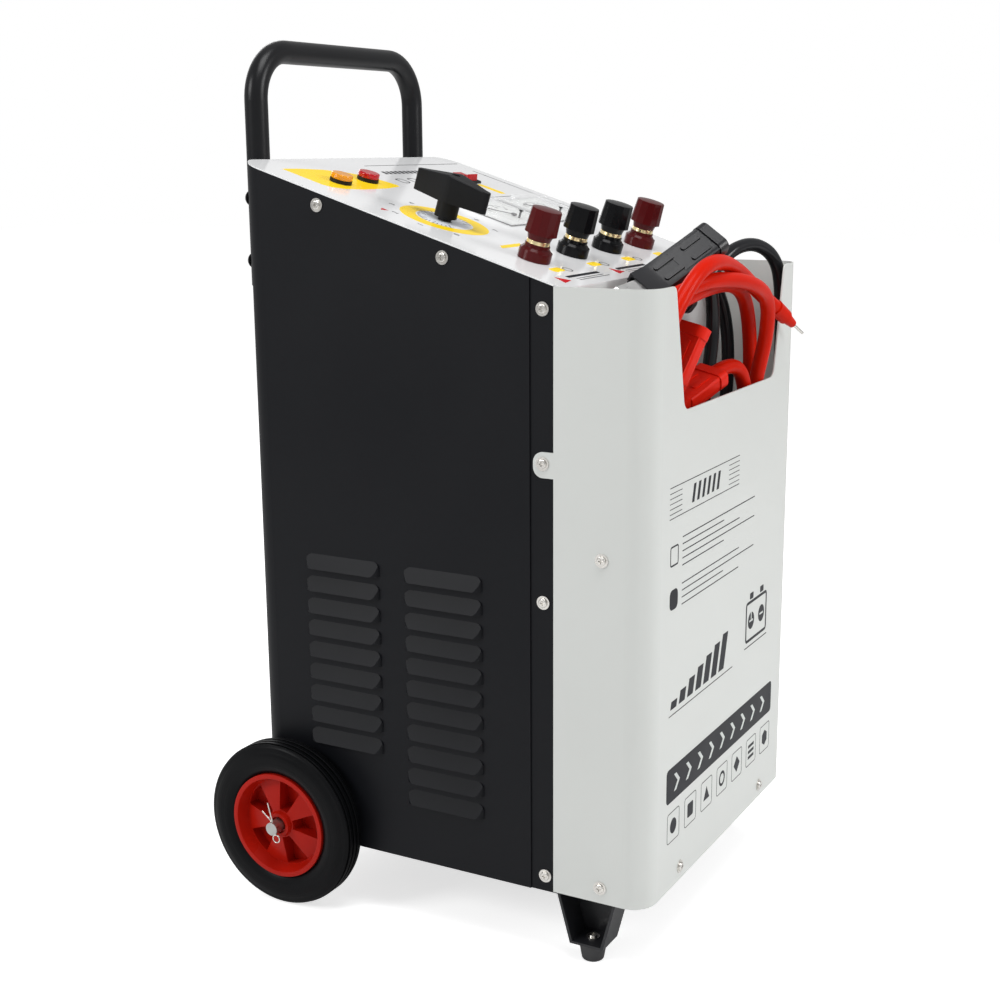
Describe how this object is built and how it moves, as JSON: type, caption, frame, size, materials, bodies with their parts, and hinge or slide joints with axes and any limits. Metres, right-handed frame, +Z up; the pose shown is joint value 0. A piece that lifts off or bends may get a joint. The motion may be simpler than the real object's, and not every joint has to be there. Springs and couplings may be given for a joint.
{
  "type": "wheeled battery charger and engine starter",
  "caption": "Upright mains battery charger and engine starter on two wheels, with sloped control panel, tool bin in front, clamp leads and U handle",
  "frame": {"origin": "on the floor under the middle of the machine, cords and clamps left out", "axes": "+Z up, -Y is the front with the tool bin, +X to the right seen from the front"},
  "size_m": [0.492, 0.5233, 0.9047],
  "materials": {
    "casing_wrap": "fine textured black",
    "base_pan": "fine textured black",
    "foot_brackets": "fine textured black",
    "front_cover": "smooth satin",
    "inner_wall": "smooth satin",
    "bin_floor": "smooth satin",
    "top_panel": "glossy",
    "mains_gland": "moulded",
    "axle": "plated",
    "axle_retainers": "plated",
    "case_screws": "plated",
    "handle_bolts": "plated",
    "wheel_hub_left": "moulded",
    "wheel_hub_right": "moulded",
    "wheel_tyre_left": "matte",
    "wheel_tyre_right": "matte",
    "foot_pads": "matte",
    "handle_tube": "satin",
    "selector_knob": "moulded",
    "selector_shaft": "plated",
    "selector_switch": "moulded",
    "rocker_frame": "moulded",
    "lamp_bodies": "moulded",
    "meter_cases": "moulded",
    "rocker_button": "moulded",
    "lamp_amber_lens": "translucent",
    "lamp_red_lens": "translucent",
    "meter_windows": "clear moulded",
    "meter_dials": "printed",
    "meter_needle_left": "matte",
    "meter_needle_right": "matte",
    "post_bases_red": "moulded",
    "post_cap_1": "moulded",
    "post_cap_4": "moulded",
    "post_bases_black": "moulded",
    "post_cap_2": "moulded",
    "post_cap_3": "moulded",
    "post_studs": "turned",
    "post_ring_1": "turned",
    "post_ring_2": "turned",
    "post_ring_3": "turned",
    "post_ring_4": "turned",
    "transformer_core": "laminated",
    "transformer_coils": "varnished winding",
    "rectifier_plates": "plain",
    "rectifier_diodes": "plain",
    "red_clamp_grip_fixed": "moulded",
    "red_clamp_grip_moving": "moulded",
    "red_lead": "moulded",
    "lead_boot_red": "moulded",
    "black_clamp_grip_fixed": "moulded",
    "black_clamp_grip_moving": "moulded",
    "black_lead": "moulded",
    "lead_boot_black": "moulded",
    "red_clamp_jaw_fixed": "plated",
    "red_clamp_jaw_moving": "plated",
    "black_clamp_jaw_fixed": "plated",
    "black_clamp_jaw_moving": "plated",
    "clamp_pins_and_springs": "plated",
    "lead_pins": "plated"
  },
  "bodies": {
    "case": {"casing_wrap": "casing_wrap", "base_pan": "base_pan", "foot_brackets": "foot_brackets", "front_cover": "front_cover", "inner_wall": "inner_wall", "bin_floor": "bin_floor", "top_panel": "top_panel", "mains_gland": "mains_gland", "axle": "axle", "axle_retainers": "axle_retainers", "case_screws": "case_screws", "handle_bolts": "handle_bolts", "foot_pads": "foot_pads", "handle_tube": "handle_tube", "selector_switch": "selector_switch", "rocker_frame": "rocker_frame", "lamp_bodies": "lamp_bodies", "meter_cases": "meter_cases", "lamp_amber_lens": "lamp_amber_lens", "lamp_red_lens": "lamp_red_lens", "meter_windows": "meter_windows", "meter_dials": "meter_dials", "post_bases_red": "post_bases_red", "post_bases_black": "post_bases_black", "post_studs": "post_studs", "transformer_core": "transformer_core", "transformer_coils": "transformer_coils", "rectifier_plates": "rectifier_plates", "rectifier_diodes": "rectifier_diodes", "red_clamp_grip_fixed": "red_clamp_grip_fixed", "red_lead": "red_lead", "lead_boot_red": "lead_boot_red", "black_clamp_grip_fixed": "black_clamp_grip_fixed", "black_lead": "black_lead", "lead_boot_black": "lead_boot_black", "red_clamp_jaw_fixed": "red_clamp_jaw_fixed", "black_clamp_jaw_fixed": "black_clamp_jaw_fixed", "clamp_pins_and_springs": "clamp_pins_and_springs", "lead_pins": "lead_pins"},
    "wheel_left": {"wheel_hub_left": "wheel_hub_left", "wheel_tyre_left": "wheel_tyre_left"},
    "wheel_right": {"wheel_hub_right": "wheel_hub_right", "wheel_tyre_right": "wheel_tyre_right"},
    "selector": {"selector_knob": "selector_knob", "selector_shaft": "selector_shaft"},
    "rocker": {"rocker_button": "rocker_button"},
    "needle_left": {"meter_needle_left": "meter_needle_left"},
    "needle_right": {"meter_needle_right": "meter_needle_right"},
    "red_lever": {"red_clamp_grip_moving": "red_clamp_grip_moving", "red_clamp_jaw_moving": "red_clamp_jaw_moving"},
    "black_lever": {"black_clamp_grip_moving": "black_clamp_grip_moving", "black_clamp_jaw_moving": "black_clamp_jaw_moving"},
    "ring_1": {"post_ring_1": "post_ring_1"},
    "cap_1": {"post_cap_1": "post_cap_1"},
    "ring_2": {"post_ring_2": "post_ring_2"},
    "cap_2": {"post_cap_2": "post_cap_2"},
    "ring_3": {"post_ring_3": "post_ring_3"},
    "cap_3": {"post_cap_3": "post_cap_3"},
    "ring_4": {"post_ring_4": "post_ring_4"},
    "cap_4": {"post_cap_4": "post_cap_4"}
  },
  "joints": [
    {"name": "wheel_left_spin", "type": "hinge", "parent": "case", "child": "wheel_left", "pos_m": [0, 0.1638, 0.09], "axis": [1, 0, 0], "continuous": true},
    {"name": "wheel_right_spin", "type": "hinge", "parent": "case", "child": "wheel_right", "pos_m": [0, 0.1638, 0.09], "axis": [1, 0, 0], "continuous": true},
    {"name": "selector_turn", "type": "hinge", "parent": "case", "child": "selector", "pos_m": [-0.117, 0.01605, 0.72217], "axis": [0, -0.3015, 0.9535], "range_deg": [-135, 135]},
    {"name": "rocker_tilt", "type": "hinge", "parent": "case", "child": "rocker", "pos_m": [0.114, 0.12587, 0.75795], "axis": [1, 0, 0], "range_deg": [0, 24]},
    {"name": "needle_left_swing", "type": "hinge", "parent": "case", "child": "needle_left", "pos_m": [0.013, 0.00842, 0.71975], "axis": [0, -0.3015, 0.9535], "range_deg": [-84, 0], "stiffness_Nm_per_rad": 0.0002, "springref_deg": 8.59},
    {"name": "needle_right_swing", "type": "hinge", "parent": "case", "child": "needle_right", "pos_m": [0.107, 0.00842, 0.71975], "axis": [0, -0.3015, 0.9535], "range_deg": [-84, 0], "stiffness_Nm_per_rad": 0.0002, "springref_deg": 8.59},
    {"name": "ring_1_lift", "type": "slide", "parent": "case", "child": "ring_1", "axis": [0, -0.3015, 0.9535], "range_m": [0, 0.0045]},
    {"name": "cap_1_turn", "type": "hinge", "parent": "ring_1", "child": "cap_1", "pos_m": [-0.135, -0.0936, 0.68749], "axis": [0, -0.3015, 0.9535], "range_deg": [0, 1080.5]},
    {"name": "ring_2_lift", "type": "slide", "parent": "case", "child": "ring_2", "axis": [0, -0.3015, 0.9535], "range_m": [0, 0.0045]},
    {"name": "cap_2_turn", "type": "hinge", "parent": "ring_2", "child": "cap_2", "pos_m": [-0.053, -0.0936, 0.68749], "axis": [0, -0.3015, 0.9535], "range_deg": [0, 1080.5]},
    {"name": "ring_3_lift", "type": "slide", "parent": "case", "child": "ring_3", "axis": [0, -0.3015, 0.9535], "range_m": [0, 0.0045]},
    {"name": "cap_3_turn", "type": "hinge", "parent": "ring_3", "child": "cap_3", "pos_m": [0.029, -0.0936, 0.68749], "axis": [0, -0.3015, 0.9535], "range_deg": [0, 1080.5]},
    {"name": "ring_4_lift", "type": "slide", "parent": "case", "child": "ring_4", "axis": [0, -0.3015, 0.9535], "range_m": [0, 0.0045]},
    {"name": "cap_4_turn", "type": "hinge", "parent": "ring_4", "child": "cap_4", "pos_m": [0.111, -0.0936, 0.68749], "axis": [0, -0.3015, 0.9535], "range_deg": [0, 1080.5]},
    {"name": "red_clamp_squeeze", "type": "hinge", "parent": "case", "child": "red_lever", "pos_m": [-0.0826, -0.1974, 0.5333], "axis": [-0.2136, -0.961, -0.1756], "range_deg": [-20, 0], "stiffness_Nm_per_rad": 1.5, "springref_deg": 17.19},
    {"name": "black_clamp_squeeze", "type": "hinge", "parent": "case", "child": "black_lever", "pos_m": [-0.091, -0.1915, 0.66], "axis": [-0.0542, -0.818, -0.5726], "range_deg": [-20, 0], "stiffness_Nm_per_rad": 1.5, "springref_deg": 17.19}
  ],
  "couplings": [
    {"joint": "cap_1_turn", "follows": "ring_1_lift", "rad_per_m": 4188.8},
    {"joint": "cap_2_turn", "follows": "ring_2_lift", "rad_per_m": 4188.8},
    {"joint": "cap_3_turn", "follows": "ring_3_lift", "rad_per_m": 4188.8},
    {"joint": "cap_4_turn", "follows": "ring_4_lift", "rad_per_m": 4188.8}
  ]
}
